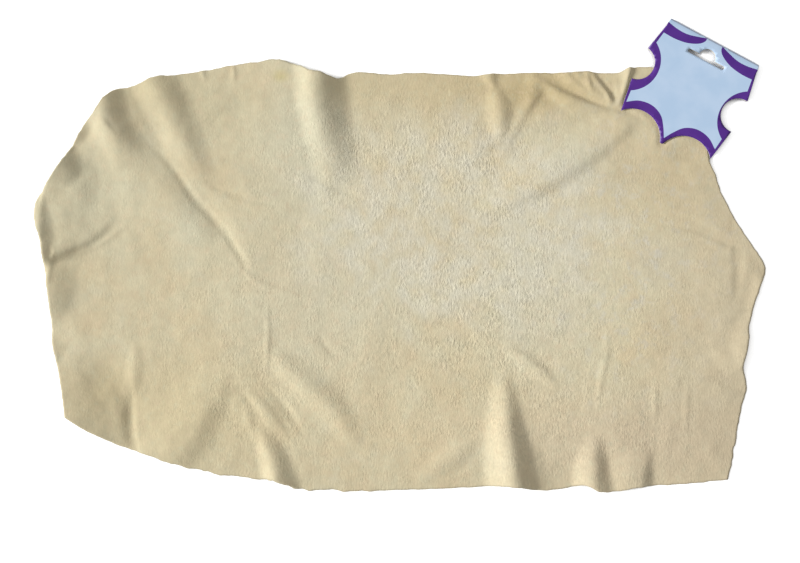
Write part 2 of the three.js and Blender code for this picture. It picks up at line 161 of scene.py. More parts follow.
# Finer lines of the leather, in the same form
CREASES = {
    "shoulder_line": Fold(
        [(140, 135), (171, 165), (196, 200), (215, 220), (232, 242), (246, 267)], -1.2, 6, 5, 0.6,
    ),
    "shoulder_tail": Fold([(240, 266), (256, 281), (290, 293)], 0.7, 3.5, 3.5, 0.5),
    "fore_line": Fold([(130, 372), (132, 395), (132, 428), (138, 454)], -1.0, 8, 5, 0.6),
    "top_nick_one": Fold([(202, 64), (203, 72), (206, 83)], 0.9, 3, 2.5, 0.4),
    "top_nick_two": Fold([(233, 62), (234, 72), (235, 84)], 0.8, 3, 2.5, 0.4),
    "fore_top": Fold([(135, 340), (135, 368), (131, 396)], 1.2, 9, 10, 0.5),
    "centre_line": Fold([(268, 300), (268, 340), (266, 380)], 0.7, 3.5, 3, 0.5),
    "ray_one": Fold([(262, 380), (284, 405), (306, 438)], -1.0, 6, 5, 0.5),
    "ray_two": Fold([(236, 384), (256, 410), (270, 436)], -0.5, 4, 4, 0.5),
    "ray_three": Fold([(242, 396), (251, 424), (258, 448)], 0.7, 6, 5, 0.5),
    "upper_line": Fold([(208, 184), (248, 199), (286, 206)], -0.8, 5, 5, 0.4),
    "upper_right_line": Fold([(302, 172), (336, 187), (370, 201)], -0.9, 5, 5, 0.5),
    "short_line": Fold([(320, 338), (330, 350), (342, 357)], -0.9, 4, 4, 0.4),
    "flank_line": Fold([(604, 318), (607, 350), (600, 384), (597, 424)], 0.5, 5, 4, 0.5),
    "ledge_lip": Fold([(131, 221), (104, 242), (80, 254), (60, 262)], 0.7, 4, 4, 0.5),
    "right_line": Fold([(602, 219), (645, 220), (692, 227), (728, 243)], -1.6, 6, 9, 0.7),
    "right_fall": Fold([(733, 212), (738, 258), (736, 304)], -1.2, 7, 8, 0.5),
    "notch_line": Fold([(706, 380), (728, 384), (750, 388)], -0.9, 5, 6, 0.8),
    "tag_line": Fold(
        [(533, 66), (549, 75.5), (565, 87), (589, 98.5), (611, 106.5), (640, 117)], -2.8, 4, 4, 0.55,
    ),
    "tag_line_short": Fold([(571, 74), (580, 82), (594, 96)], -0.9, 3.5, 3.5, 0.3),
    "pleat_one": Fold([(632, 56), (628, 77.5), (620.5, 108)], 1.6, 6, 4, 0.4),
    "pleat_top": Fold([(633, 54), (629, 68), (625, 84)], 2.4, 14, 4, 0.4),
    "pleat_two": Fold([(588, 64), (594, 76), (603, 88), (612, 104)], 1.8, 5, 4, 0.3),
    "pleat_four": Fold([(604, 88), (608, 98), (613, 110)], 0.9, 3, 3, 0.5),
    "pleat_three": Fold([(586, 64), (588, 80), (592, 94)], 1.2, 4, 3.5, 0.2),
    "pleat_valley": Fold([(609.5, 66), (612, 84), (616, 104)], -1.4, 2.8, 2.8, 0.45),
    "pleat_tuck": Fold([(592, 72), (604, 83.5), (611, 92), (616, 104)], -1.1, 3.5, 3, 0.5),
    "rump_crumple": Fold([(540, 92), (524, 112), (500, 160)], 0.7, 7, 6, 0.4),
    "rump_dip": Fold([(539, 84), (537, 104), (527, 130)], -0.3, 7, 6, 0.5),
    "lower_right_one": Fold([(656, 374), (655, 400), (655, 428)], 0.5, 4, 4, 0.5),
    "lower_right_two": Fold([(688, 380), (686, 404), (686, 440)], 0.5, 4, 4, 0.5),
}
CREST_SAMPLES = 18
# Waves of the leather's own unevenness: length and height, in millimetres
PUCKERS = [(95.0, 0.7), (38.0, 0.55), (17.0, 0.4), (8.0, 0.15)]
# The calm middle, in pixels and millimetres, and the share of the puckers that it loses
CALM_MIDDLE = (480, 260)
CALM_REACH = (190.0, 120.0)
CALM_SHARE = 0.75
# Lift of the loose leather off the floor, the strip along its edge that comes down, and how softly a
# valley meets the floor
SLACK = 1.0
SLACK_EDGE = 24.0
VALLEY_SOFTNESS = 0.3

# Card: one blank, folded over the leather's corner and die-cut to a hide outline
CARD_THICKNESS = 0.4
FOLD_LENGTH = 80.0
LEG_SPAN = 89.0
FORE_LEG_DEPTH = 27.5
HIND_LEG_DEPTH = 54.5
HIND_FOOT_SPAN = 80.0
HIND_FOOT_DEPTH = 81.0
TAIL_DEPTH = 89.0
TAIL_WIDTH = 3.0
TAIL_POINT = 0.75
LEFT_NOTCH = 11.6
RIGHT_NOTCH = 15.0
REAR_NOTCH = 11.6
BACK_FACE = 0.8
FRONT_FACE = 4.0
FOLD_BULGE = 2.4
FOLD_TURN = 4.5
FOLD_STEPS = 8
TURN_SAMPLES = 181
FOLD_CORNER = 0.8
# How far from the middle of the spine the print is greyer: painted shade where the rounded fold turns from
# the light
FOLD_SHADE_STRIP = 2.0
SLOT_LENGTH = 32.0
SLOT_HEIGHT = 3.0
SLOT_DEPTH = 13.6
HUMP_RADIUS = 6.7
ARC_STEPS = 28
CARD_GRID = 3.0
MERGE_GAP = 1e-4
# Holes for the staples' legs in the back leaf: their size, their places across and how far down
LEG_HOLE = (1.1, 1.2)
LEG_PLACES = (-16.75, -7.25, 7.25, 16.75)
LEG_DEPTH = 56.0
# The pale field inside the printed border, on the left half: points across and down from the fold
FIELD_TIP = (-6.8, -1.5)
FIELD_NECK = [(-7.2, 1.6), (-10.2, 5.1), (-19.0, 9.3), (-30.0, 11.0), (-39.3, 10.8)]
FIELD_NOTCH = [(-40.7, 20.6), (-28.4, 41.2), (-40.6, 63.2)]
FIELD_REAR = [(-39.6, 72.8), (-31.0, 67.2), (-20.0, 65.7), (-10.5, 69.4), (-4.5, 76.5), (0.0, 84.0)]
FIELD_BAND = [(-41.0, 1.4), (-31.0, 3.2), (-22.5, 3.2), (-14.0, 1.0), FIELD_TIP]
# How the leather lies between the two leaves
SEAT_HEIGHT = 1.5
SEAT_MARGIN = 0.8
SEAT_HOLD = 1.6
SEAT_FADE = 26.0

# Parts of the leather, in pixels and millimetres: the worn pale middle, with a colour of its own; the lit
# middle, outside which painted shade darkens the rim as the light falls off; the spotted part on the right
# and the tan end
WORN_MIDDLE = (462, 222)
WORN_REACH = (230.0, 150.0)
LIT_MIDDLE = (400, 300)
LIT_REACH = (330.0, 205.0)
SPOTTED_MIDDLE = (635, 255)
SPOTTED_REACH = (150.0, 190.0)
TAN_MIDDLE = (740, 350)
TAN_REACH = (110.0, 200.0)
# Colours of the leather as seen on a screen, and the most that each takes of what lies below it
CREAM = (207, 193, 159)
LIGHT_CREAM = (210, 200, 168)
WARM_BLUSH = (212, 192, 156)
COOL_BLUSH = (206, 200, 174)
BLUSH_SHARE = 0.4
WARM_FLECK = (213, 193, 162)
COOL_FLECK = (204, 200, 170)
FLECK_SHARE = 0.35
PALE_SPOT = (205, 202, 189)
SPOT_SHARE = 0.6
WORN_PALE = (213, 209, 191)
WORN_SHARE = 0.75
DEEP_TAN = (199, 184, 156)
TAN_SHARE = 0.6
# Painted shade at the leather's rim, where the light falls off, and the tone of its cut edge, beside 1
# elsewhere
RIM_SHADE = 0.95
CUT_TONE = 0.92
# Broad tints of the leather: middle in pixels, reach in millimetres, colour and share
TINTS = {
    "before_back": ((305, 140), (65.0, 85.0), (205, 201, 176), 0.8),
    "centre_left": ((320, 300), (120.0, 110.0), (206, 201, 177), 0.5),
    "centre_right": ((550, 285), (75.0, 110.0), (208, 204, 183), 0.5),
    "rump": ((515, 84), (160.0, 45.0), (202, 185, 146), 1.0),
    "tag_drag": ((578, 160), (50.0, 28.0), (206, 202, 181), 0.6),
    "shoulder": ((150, 85), (60.0, 35.0), (204, 192, 156), 0.8),
    "behind_back": ((350, 84), (60.0, 30.0), (204, 190, 153), 0.6),
    "rump_knot": ((546, 88), (52.0, 30.0), (195, 177, 135), 0.8),
    "corner": ((108, 396), (40.0, 40.0), (199, 182, 142), 0.7),
    "right_middle": ((660, 262), (40.0, 32.0), (203, 195, 170), 0.6),
    "left_edge": ((60, 262), (40.0, 40.0), (206, 193, 158), 0.6),
    "before_belly": ((430, 440), (45.0, 45.0), (210, 193, 158), 0.7),
    "fore": ((175, 418), (135.0, 85.0), (208, 194, 157), 0.9),
    "below_tag": ((668, 170), (85.0, 60.0), (203, 187, 152), 0.9),
    "lower_right": ((640, 445), (200.0, 70.0), (205, 189, 160), 0.9),
    "left_facet": ((92, 190), (70.0, 85.0), (205, 199, 170), 0.7),
    "behind_shoulder": ((212, 106), (75.0, 42.0), (200, 189, 155), 0.6),
    "rump_stain": ((524, 95), (24.0, 15.0), (184, 166, 126), 0.7),
    "rump_foot": ((485, 147), (13.0, 8.0), (186, 172, 138), 0.7),
    "top_stain": ((281, 76), (10.0, 8.0), (201, 188, 136), 0.7),
    "neck_swell": ((190, 222), (28.0, 48.0), (209, 206, 180), 0.6),
}
# The nap: its usual length, how much patches change it, how much painted shade darkens its pits and
# painted light brightens its tips, and where it is longer, as a middle in pixels, a reach in millimetres
# and a share
SHORT_NAP = 0.32
PATCH_SHARE = 0.5
PIT_SHADE = 0.5
LONG_NAPS = {
    "broad_middle": ((450, 330), (330.0, 230.0), 0.6),
    "upper_middle": ((430, 158), (175.0, 74.0), 0.75),
    "above_belly": ((505, 300), (85.0, 150.0), 0.45),
    "fore": ((250, 400), (95.0, 85.0), 0.3),
    "lower_right": ((640, 430), (130.0, 90.0), 0.3),
}

# Stage: a white floor that glows where it is open, a low sun from the left and an even sky
FLOOR_SIZE = 4000.0
FLOOR_DROP = 0.1
FLOOR_GLOW = 0.6
FLOOR_CRANNY = 12.0
CRANNY_DARK = 0.4
CRANNY_OPEN = 0.9
SKY_LEVEL = 0.45
SUN_FROM = (-1.0, 0.06)
SUN_HEIGHT = 28.0
SUN_STRENGTH = 3.7
SUN_SPREAD = 18.0

# Camera, straight over the leather
PHOTO_WIDTH, PHOTO_HEIGHT = 800, 563
LENS = 50.0
SENSOR = 36.0

# Steps between two points of a curve, and the size and gain of the lattice of a random field
SPLINE_STEPS = 24
LATTICE = 64
LATTICE_GAIN = 1.5


def run_along(points):
    """How far each point of a line lies along it."""
    return np.r_[0, np.cumsum(np.hypot(*np.diff(points, axis=0).T))]


def spline(points, samples):
    """A smooth curve through points, as samples spread evenly along it."""
    through = np.array(points, float)
    padded = np.vstack([2 * through[0] - through[1], through, 2 * through[-1] - through[-2]])
    gaps = np.sqrt(np.linalg.norm(np.diff(padded, axis=0), axis=1))
    share = np.linspace(0, 1, SPLINE_STEPS, endpoint=False)[:, None]
    dense = []
    for i in range(1, len(padded) - 2):
        before, start, end, after = padded[i - 1:i + 3]
        gap_before, gap, gap_after = gaps[i - 1:i + 2]
        leave = gap * (
            (start - before) / gap_before - (end - before) / (gap_before + gap) + (end - start) / gap
        )
        arrive = gap * (
            (end - start) / gap - (after - start) / (gap + gap_after) + (after - end) / gap_after
        )
        dense.append(
            (2 * share**3 - 3 * share**2 + 1) * start
            + (share**3 - 2 * share**2 + share) * leave
            + (3 * share**2 - 2 * share**3) * end
            + (share**3 - share**2) * arrive
        )
    dense = np.vstack([*dense, through[-1:]])
    run = run_along(dense)
    even = np.linspace(0, run[-1], samples)
    return np.column_stack([np.interp(even, run, dense[:, axis]) for axis in (0, 1)])


def ease(value):
    """A smooth step from 0 to 1 as value goes from 0 to 1."""
    value = np.clip(value, 0, 1)
    return value * value * (3 - 2 * value)


def unevenness(x, y, wave, seed):
    """A smooth random field of about -1 to 1 that swings over one wave, the same at each run."""
    turns = np.random.default_rng(seed).uniform(0, 2 * math.pi, (LATTICE, LATTICE))
    x, y = x / wave, y / wave
    column, row = np.floor(x).astype(int), np.floor(y).astype(int)
    x, y = x - column, y - row
    across, up = x**3 * (x * (6 * x - 15) + 10), y**3 * (y * (6 * y - 15) + 10)
    field = 0
    for right in (0, 1):
        for top in (0, 1):
            turn = turns[(column + right) % LATTICE, (row + top) % LATTICE]
            slope = np.cos(turn) * (x - right) + np.sin(turn) * (y - top)
            weight = (across if right else 1 - across) * (up if top else 1 - up)
            field = field + weight * slope
    return LATTICE_GAIN * field


def near_line(line, x, y):
    """For each point, its distance to a line, whether it lies left of it, and its share along the line."""
    steps = np.diff(line, axis=0)
    best = np.full(x.shape, np.inf)
    left = np.zeros(x.shape, bool)
    share = np.zeros(x.shape)
    for i, (start, step) in enumerate(zip(line[:-1], steps)):
        off_x, off_y = x - start[0], y - start[1]
        along = np.clip((off_x * step[0] + off_y * step[1]) / (step @ step), 0, 1)
        gap = np.hypot(off_x - along * step[0], off_y - along * step[1])
        nearer = gap < best
        best = np.where(nearer, gap, best)
        left = np.where(nearer, step[0] * off_y - step[1] * off_x > 0, left)
        share = np.where(nearer, (i + along) / len(steps), share)
    return best, left, share


def inside(polygon, x, y):
    """Which points lie inside a closed polygon."""
    found = np.zeros(np.shape(x), bool)
    for (x0, y0), (x1, y1) in zip(polygon, np.roll(polygon, -1, axis=0)):
        if y0 != y1:
            crosses = (y0 > y) != (y1 > y)
            found ^= crosses & (x < x0 + (y - y0) * (x1 - x0) / (y1 - y0))
    return found


def add_mesh(name, points, faces, materials, face_materials=None, smooth=True):
    """A new mesh object from points in millimetres, with its faces' materials and smoothness."""
    mesh = bpy.data.meshes.new(name)
    mesh.from_pydata((np.asarray(points) * MM).tolist(), [], faces)
    for material in materials:
        mesh.materials.append(material)
    if face_materials is not None:
        mesh.polygons.foreach_set("material_index", face_materials)
    mesh.polygons.foreach_set("use_smooth", np.broadcast_to(smooth, len(faces)).astype(bool))
    mesh.update()
    made = bpy.data.objects.new(name, mesh)
    bpy.context.scene.collection.objects.link(made)
    return made


class Shader:
    """A node material in the making."""

    # Places of the colours among the inputs and outputs of a Mix node
    MIX_SHARE = 0
    MIX_FIRST = 6
    MIX_SECOND = 7
    MIX_RESULT = 2

    def __init__(self, name):
        self.material = bpy.data.materials.new(name)
        self.material.use_nodes = True
        self.tree = self.material.node_tree
        self.surface = self.tree.nodes["Principled BSDF"]

    def fill(self, node, inputs):
        """Sets a node's inputs, or links them where the value is another node's output."""
        for key, value in inputs.items():
            if isinstance(value, bpy.types.NodeSocket):
                self.tree.links.new(value, node.inputs[key])
            else:
                node.inputs[key].default_value = value

    def node(self, kind, inputs=None, **settings):
        """A new node with its inputs and its own settings."""
        made = self.tree.nodes.new("ShaderNode" + kind)
        for key, value in settings.items():
            setattr(made, key, value)
        self.fill(made, inputs or {})
        return made

    def place(self):
        """The place of each point in the part's frame."""
        return self.node("TexCoord").outputs["Object"]

    def noise(self, size, detail=2.0, rough=0.5, vector=None):
        """Random patches about size millimetres across, around a half."""
        inputs = {"Vector": vector or self.place(), "Scale": 1 / (size * MM)}
        inputs.update({"Detail": detail, "Roughness": rough})
        return self.node("TexNoise", inputs).outputs[0]

    def ramp(self, value, low, high, out_low=0.0, out_high=1.0):
        """A smooth step between two outputs as the value goes from low to high."""
        inputs = {"Value": value, "From Min": low, "From Max": high}
        inputs.update({"To Min": out_low, "To Max": out_high})
        return self.node("MapRange", inputs, interpolation_type="SMOOTHSTEP").outputs[0]

    def blob(self, middle, reach):
        """1 at a pixel of the photograph, fading to 0 over a reach in millimetres along and across."""
        x, y = from_photo(middle) * MM
        inputs = {"Vector": self.place(), "Location": (x, y, 0.0)}
        inputs["Scale"] = (reach[0] * MM, reach[1] * MM, 1.0)
        off = self.node("Mapping", inputs, vector_type="TEXTURE").outputs[0]
        distance = self.node("VectorMath", {0: off}, operation="LENGTH").outputs["Value"]
        return self.ramp(distance, 0.0, 1.0, 1.0, 0.0)

    def math(self, operation, first, second):
        """One sum, difference, product or maximum of two values."""
        return self.node("Math", {0: first, 1: second}, operation=operation).outputs[0]

    def mix(self, share, first, second, blend="MIX"):
        """The first colour, with a share of the second mixed in."""
        inputs = {self.MIX_SHARE: share, self.MIX_FIRST: first, self.MIX_SECOND: second}
        return self.node("Mix", inputs, data_type="RGBA", blend_type=blend).outputs[self.MIX_RESULT]

    def bump(self, height, strength, distance, normal=None):
        """A fine relief of so many millimetres, on top of another where one is given."""
        inputs = {"Height": height, "Strength": strength, "Distance": distance * MM}
        if normal is not None:
            inputs["Normal"] = normal
        return self.node("Bump", inputs).outputs[0]


def srgb(red, green, blue):
    """A colour as seen on a screen, 0 to 255 each, in the linear values that a shader takes."""
    linear = [
        value / 12.92 if value <= 0.04045 else ((value + 0.055) / 1.055) ** 2.4
        for value in (red / 255, green / 255, blue / 255)
    ]
    return (*linear, 1.0)


# Place of the photograph's pixels in the part's plan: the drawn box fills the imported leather's box
hide_low, hide_high = (np.array(corner)[:2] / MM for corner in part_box("chamois_hide"))


def from_photo(points):
    """Pixels of the photograph as places in the part's plan, in millimetres."""
    share = (np.array(points, float) - DRAWN_LOW) / np.subtract(DRAWN_HIGH, DRAWN_LOW)
    share[..., 1] = 1 - share[..., 1]
    return hide_low + share * (hide_high - hide_low)


# Frame of the card: along the fold to the right, and away from the leaves
creases = {joint["name"]: joint for joint in frame["joints"]}
along_fold = -np.array(creases["front_crease"]["axis"][:2])
away = np.array([-along_fold[1], along_fold[0]])
fold_middle = np.array(creases["front_crease"]["pos_m"][:2]) / MM - away * CARD_THICKNESS


def card_place(across, down):
    """The plan of points given across and down from the middle of the card's fold."""
    return fold_middle + np.multiply.outer(across, along_fold) - np.multiply.outer(down, away)


def on_card(x, y):
    """How far points of the plan lie across and down from the middle of the card's fold."""
    off_x, off_y = x - fold_middle[0], y - fold_middle[1]
    return off_x * along_fold[0] + off_y * along_fold[1], -(off_x * away[0] + off_y * away[1])


def arc(start, through, end, steps=ARC_STEPS):
    """Points along the circle through three points, from the first to the last."""
    (ax, ay), (bx, by), (cx, cy) = start, through, end
    twice = 2 * (ax * (by - cy) + bx * (cy - ay) + cx * (ay - by))
    squares = [x * x + y * y for x, y in (start, through, end)]
    centre = np.array([
        (squares[0] * (by - cy) + squares[1] * (cy - ay) + squares[2] * (ay - by)) / twice,
        (squares[0] * (cx - bx) + squares[1] * (ax - cx) + squares[2] * (bx - ax)) / twice,
    ])
    first, middle, last = (math.atan2(y - centre[1], x - centre[0]) for x, y in (start, through, end))
    turn = (last - first) % (2 * math.pi)
    if (middle - first) % (2 * math.pi) > turn:
        turn -= 2 * math.pi
    angles = first + turn * np.linspace(0, 1, steps)
    radius = math.hypot(ax - centre[0], ay - centre[1])
    return np.column_stack([centre[0] + radius * np.cos(angles), centre[1] + radius * np.sin(angles)])


def notch(start, end, depth):
    """A round notch of a given depth between two points, on the left as they run."""
    start, end = np.array(start), np.array(end)
    chord = end - start
    inward = np.array([-chord[1], chord[0]]) / np.hypot(*chord)
    return arc(start, (start + end) / 2 + inward * depth, end)


def mirrored(points):
    """The same points on the other half, in the reverse order."""
    return np.array(points)[::-1] * (-1, 1)


def leaf_half(side_notch):
    """Left half of a leaf's outline from the fold down to the tail, across and down."""
    fore = (-FOLD_LENGTH / 2, 0.0)
    shoulder = (-LEG_SPAN / 2, FORE_LEG_DEPTH)
    hip = (-LEG_SPAN / 2, HIND_LEG_DEPTH)
    foot = (-HIND_FOOT_SPAN / 2, HIND_FOOT_DEPTH)
    tail = (-TAIL_WIDTH / 2, TAIL_DEPTH - TAIL_POINT)
    side = notch(hip, shoulder, side_notch)[::-1]
    rear = notch(tail, foot, REAR_NOTCH)[::-1]
    return np.vstack([[fore], side, rear, [(0.0, TAIL_DEPTH)]])


def leaf_outline():
    """Outline of a whole leaf, across and down from the fold."""
    return np.vstack([leaf_half(LEFT_NOTCH), mirrored(leaf_half(RIGHT_NOTCH))[1:]])


# Leather


def ragged(edge, seed):
    """An edge of the leather with the small unevenness of a hand cut; its ends stay."""
    run = run_along(edge)
    ends = ease(np.minimum(run, run[-1] - run) / EDGE_RAGS[0][0])
    heading = np.gradient(edge, axis=0)
    side = np.column_stack([-heading[:, 1], heading[:, 0]]) / np.hypot(*heading.T)[:, None]
    rags = sum(height * unevenness(run, 0 * run + seed, wave, seed) for wave, height in EDGE_RAGS)
    fray = 1 + sum(
        more * (1 - ease(np.hypot(*(edge - from_photo(middle)).T) / reach))
        for middle, reach, more in FRAYS.values()
    )
    return edge + side * (rags * fray * ends)[:, None]


def hide_plan():
    """Plan of the leather's mesh: a grid stretched between its four edges."""
    columns, rows = HIDE_CELLS[0] + 1, HIDE_CELLS[1] + 1
    edges = [(LEFT_EDGE, rows), (RIGHT_EDGE, rows), (BOTTOM_EDGE, columns), (TOP_EDGE, columns)]
    left, right, bottom, top = (
        ragged(spline(from_photo(edge), samples), seed) for seed, (edge, samples) in enumerate(edges, 1)
    )
    across = np.linspace(0, 1, columns)[None, :, None]
    up = np.linspace(0, 1, rows)[:, None, None]
    sides = (1 - across) * left[:, None] + across * right[:, None]
    ends = (1 - up) * bottom[None] + up * top[None]
    corners = (1 - up) * ((1 - across) * bottom[0] + across * bottom[-1])
    corners = corners + up * ((1 - across) * top[0] + across * top[-1])
    return sides + ends - corners


def fold_lift(fold, x, y):
    """How high one fold lifts the leather at each point of its plan."""
    crest = spline(from_photo(fold.crest), CREST_SAMPLES)
    reach = max(fold.left, fold.right)
    low, high = crest.min(axis=0) - reach, crest.max(axis=0) + reach
    close = (x > low[0]) & (x < high[0]) & (y > low[1]) & (y < high[1])
    distance, on_left, share = near_line(crest, x[close], y[close])
    swell = np.cos(0.5 * math.pi * np.abs(share - fold.high) / max(fold.high, 1 - fold.high))
    width = np.where(on_left, fold.right, fold.left) * (fold.tip + (1 - fold.tip) * swell)
    lift = np.zeros(x.shape)
    lift[close] = fold.rise * swell * (0.5 + 0.5 * np.cos(math.pi * np.clip(distance / width, 0, 1)))
    return lift


def under_card(x, y, margin, fade):
    """1 within a margin of the card's outline, fading to 0 beyond it."""
    outline = leaf_outline()
    across, down = on_card(x, y)
    reach = margin + fade
    close = (np.abs(across) < LEG_SPAN / 2 + reach) & (down > -reach) & (down < TAIL_DEPTH + reach)
    closed = np.vstack([outline, outline[:1]])
    distance, _, _ = near_line(closed, across[close], down[close])
    distance = np.where(inside(outline, across[close], down[close]), 0, distance)
    held = np.zeros(x.shape)
    held[close] = 1 - ease((distance - margin) / fade)
    return held


def hide_underside(plan):
    """Height of the leather's underside over its plan."""
    x, y = plan[..., 0], plan[..., 1]
    lift = sum(fold_lift(fold, x, y) for fold in [*FOLDS.values(), *CREASES.values()])
    calm_x, calm_y = from_photo(CALM_MIDDLE)
    calm = np.exp(-((x - calm_x) / CALM_REACH[0]) ** 2 - ((y - calm_y) / CALM_REACH[1]) ** 2)
    pucker = sum(height * unevenness(x, y, wave, int(wave)) for wave, height in PUCKERS)
    pucker = pucker * (1 - CALM_SHARE * calm)
    rows, columns = x.shape
    up, across = np.arange(rows)[:, None], np.arange(columns)[None]
    steps = np.minimum(np.minimum(up, rows - 1 - up), np.minimum(across, columns - 1 - across))
    cell = np.hypot(*(plan[0, 1] - plan[0, 0]))
    slack = SLACK * ease(steps * cell / SLACK_EDGE)
    free = slack + lift + pucker
    free = 0.5 * (free + np.sqrt(free**2 + VALLEY_SOFTNESS**2))
    free = free * (1 - under_card(x, y, SEAT_MARGIN, SEAT_HOLD))
    seat = SEAT_HEIGHT * under_card(x, y, SEAT_MARGIN, SEAT_FADE)
    return np.maximum(free, 0) + seat


def lowest_around(height, span):
    """The lowest of each cell's neighbours up to a span of cells away."""
    lowest = height.copy()
    for axis in (0, 1):
        edge = [(span, span) if axis == k else (0, 0) for k in (0, 1)]
        wide = np.pad(lowest, edge, mode="edge")
        size = lowest.shape[axis]
        shifted = [np.take(wide, range(k, k + size), axis=axis) for k in range(2 * span + 1)]
        lowest = np.min(shifted, axis=0)
    return lowest


def quads(rows, columns, first, flip):
    """The cells of a grid of points as faces, counted from the first point's number."""
    number = first + np.arange(rows * columns).reshape(rows, columns)
    corners = [number[:-1, :-1], number[:-1, 1:], number[1:, 1:], number[1:, :-1]]
    faces = np.stack(corners[::-1] if flip else corners, axis=-1).reshape(-1, 4)
    return faces.tolist()


def border(rows, columns, first):
    """The numbers of a grid's border points, once round it against the clock."""
    number = first + np.arange(rows * columns).reshape(rows, columns)
    lines = [number[0, :-1], number[:-1, -1], number[-1, :0:-1], number[:0:-1, 0]]
    return np.concatenate(lines)


def make_hide(material):
    """The leather as one closed sheet: a fine top, a coarser underside and the cut edge between them."""
    plan = hide_plan()
    rows, columns = plan.shape[:2]
    under = hide_underside(plan)
    top = under + HIDE_THICKNESS
    top[[0, -1], :] -= EDGE_ROUNDING
    top[1:-1, [0, -1]] -= EDGE_ROUNDING
    upper = np.dstack([plan, top]).reshape(-1, 3)
    coarse = (slice(None, None, UNDER_SPAN), slice(None, None, UNDER_SPAN))
    lower_grid = np.dstack([plan[coarse], lowest_around(under, UNDER_SPAN)[coarse]])
    lower_rows, lower_columns = lower_grid.shape[:2]
    lower = lower_grid.reshape(-1, 3)
    faces = quads(rows, columns, 0, False) + quads(lower_rows, lower_columns, len(upper), True)
    smooth = [True] * len(faces)
    ring = border(rows, columns, 0)
    under_ring = border(lower_rows, lower_columns, len(upper))
    for i in range(len(under_ring)):
        stretch = [int(ring[(i * UNDER_SPAN + k) % len(ring)]) for k in range(UNDER_SPAN, -1, -1)]
        faces.append([*stretch, int(under_ring[i]), int(under_ring[(i + 1) % len(under_ring)])])
        smooth.append(False)
    made = add_mesh("chamois_leather", np.vstack([upper, lower]), faces, [material], smooth=smooth)
    cut = np.zeros(len(upper) + len(lower))
    cut[ring] = 1
    made.data.attributes.new(CUT_EDGE, "FLOAT", "POINT").data.foreach_set("value", cut)
    return made


# Card

# Half of the spine as a quarter of an ellipse, from the middle of the spine to where a leaf begins
turn_reach = FOLD_TURN + FOLD_BULGE
turn_rise = (FRONT_FACE - BACK_FACE) / 2
turn_angles = np.linspace(0, math.pi / 2, TURN_SAMPLES)
turn_curve = np.column_stack([turn_reach * np.cos(turn_angles), turn_rise * np.sin(turn_angles)])
turn_runs = run_along(turn_curve)
turn_length = float(turn_runs[-1])


def fold_profile(distance, front):
    """How far down, how high and which way out the card is, at distances from the middle of its spine."""
    turned = np.interp(distance, turn_runs, turn_angles)
    past = np.maximum(distance - turn_length, 0)
    down = FOLD_TURN - turn_reach * np.cos(turned) + past
    height = turn_rise * np.sin(turned)
    out = np.column_stack([-np.cos(turned) / turn_reach, np.sin(turned) / turn_rise])
    out /= np.linalg.norm(out, axis=1)[:, None]
    side = 1 if front else -1
    middle = (FRONT_FACE + BACK_FACE) / 2
    return down, middle + side * height, out * (1, side)


def unrolled(points):
    """Points across and down from the fold, as points of the flat blank from the middle of its spine."""
    return np.array(points, float) + (0, turn_length - FOLD_TURN)


def blank_half(side_notch):
    """Left half of the flat blank's outline, from the middle of the spine round to the tail."""
    half = unrolled(leaf_half(side_notch))[1:]
    down = np.linspace(0, turn_length, FOLD_STEPS + 1)
    fore = -FOLD_LENGTH / 2 + FOLD_CORNER * (1 - ease(down / turn_length)) ** 2
    return np.vstack([np.column_stack([fore, down]), half])


def blank_outline():
    """Outline of one half of the flat blank, from the middle of the spine round its leaf."""
    return np.vstack([blank_half(LEFT_NOTCH), mirrored(blank_half(RIGHT_NOTCH))[1:]])


def peg_slot():
    """The slot for a display peg: narrow with round ends, and a half-round hump towards the fold."""
    end, middle = SLOT_HEIGHT / 2, SLOT_LENGTH / 2 - SLOT_HEIGHT / 2
    low, high = SLOT_DEPTH + end, SLOT_DEPTH - end
    right = arc((middle, low), (middle + end, SLOT_DEPTH), (middle, high), ARC_STEPS // 2)
    hump = arc((HUMP_RADIUS, high), (0, high - HUMP_RADIUS), (-HUMP_RADIUS, high))
    return unrolled(np.vstack([right, hump, mirrored(right)]))


def leg_hole(across):
    """A hole for one leg of a staple."""
    wide, deep = LEG_HOLE
    corners = [(-wide, -deep), (wide, -deep), (wide, deep), (-wide, deep)]
    return unrolled([(across + x / 2, LEG_DEPTH + y / 2) for x, y in corners])


def pale_field():
    """The pale field of the print, which leaves a border along the cut edges and two bands by the fold."""
    neck = spline([FIELD_TIP, *FIELD_NECK], ARC_STEPS)
    left = np.vstack([neck, arc(*FIELD_NOTCH), spline(FIELD_REAR, ARC_STEPS)])
    band = spline(FIELD_BAND, ARC_STEPS)
    beyond = [(FIELD_BAND[0][0], -2 * turn_length)]
    border_bands = [mirrored(band), mirrored(beyond), beyond, band[:-1]]
    return unrolled(np.vstack([left, mirrored(left)[1:-1], *border_bands]))


